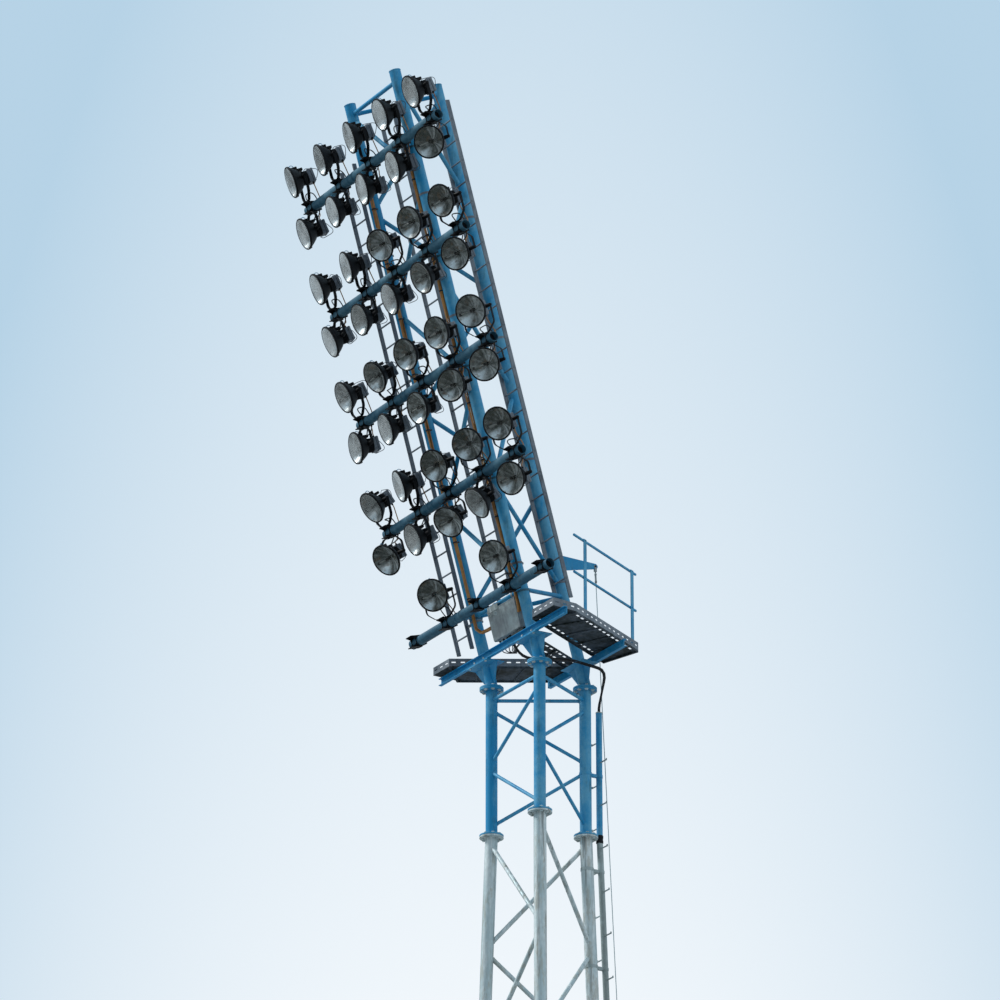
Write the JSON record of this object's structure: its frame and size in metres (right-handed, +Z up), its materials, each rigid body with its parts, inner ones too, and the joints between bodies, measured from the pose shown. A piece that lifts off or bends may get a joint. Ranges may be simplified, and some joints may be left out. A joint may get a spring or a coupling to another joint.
{
  "type": "stadium floodlight pylon",
  "caption": "Three-legged lattice column with a forward-leaning head that carries rows of aimed round floodlights on crossbars, with ladders and a service platform.",
  "frame": {"origin": "middle of the rear foot plate's underside, at ground level", "axes": "+Z up the column, X along the crossbars, lamps looking towards -Y"},
  "size_m": [3.8823, 5.1844, 34.9116],
  "materials": {
    "galvanised_steel": "dull weathered zinc",
    "blue_painted_steel": "weathered satin paint",
    "grey_painted_steel": "weathered satin paint",
    "black_painted_steel": "matte",
    "slate_painted_steel": "matte",
    "box_steel": "dusty satin paint",
    "dark_grating": "dull",
    "wire_steel": "dull",
    "lens_glass": "dusty clear",
    "cable_sheath": "faded matte"
  },
  "bodies": {
    "root": {"cables": "cable_sheath", "climbing_pole": "grey_painted_steel", "crossbar_arms": "blue_painted_steel", "crossbars": "blue_painted_steel", "davit": "blue_painted_steel", "foot_plates": "galvanised_steel", "gear_boxes": "slate_painted_steel", "gratings": "dark_grating", "handrail": "blue_painted_steel", "head_bracing": "blue_painted_steel", "head_foot_frame": "blue_painted_steel", "head_legs": "blue_painted_steel", "junction_box": "box_steel", "ladders": "slate_painted_steel", "lamp_housings_1": "black_painted_steel", "lamp_housings_2": "black_painted_steel", "lamp_housings_3": "black_painted_steel", "lamp_housings_4": "black_painted_steel", "lamp_housings_5": "black_painted_steel", "lamp_leads": "cable_sheath", "lenses_1": "lens_glass", "lenses_2": "lens_glass", "lenses_3": "lens_glass", "lenses_4": "lens_glass", "lenses_5": "lens_glass", "lifeline": "wire_steel", "lower_bracing_1": "galvanised_steel", "lower_bracing_2": "galvanised_steel", "lower_bracing_3": "galvanised_steel", "lower_bracing_4": "galvanised_steel", "lower_legs_1": "galvanised_steel", "lower_legs_2": "galvanised_steel", "lower_legs_3": "galvanised_steel", "lower_legs_4": "galvanised_steel", "platform_beams": "blue_painted_steel", "saddles": "black_painted_steel", "straight_bracing": "blue_painted_steel", "straight_legs": "blue_painted_steel", "toe_boards": "dark_grating", "turnbuckle": "wire_steel", "yokes_1": "black_painted_steel", "yokes_2": "black_painted_steel", "yokes_3": "black_painted_steel", "yokes_4": "black_painted_steel", "yokes_5": "black_painted_steel"}
  },
  "joints": []
}
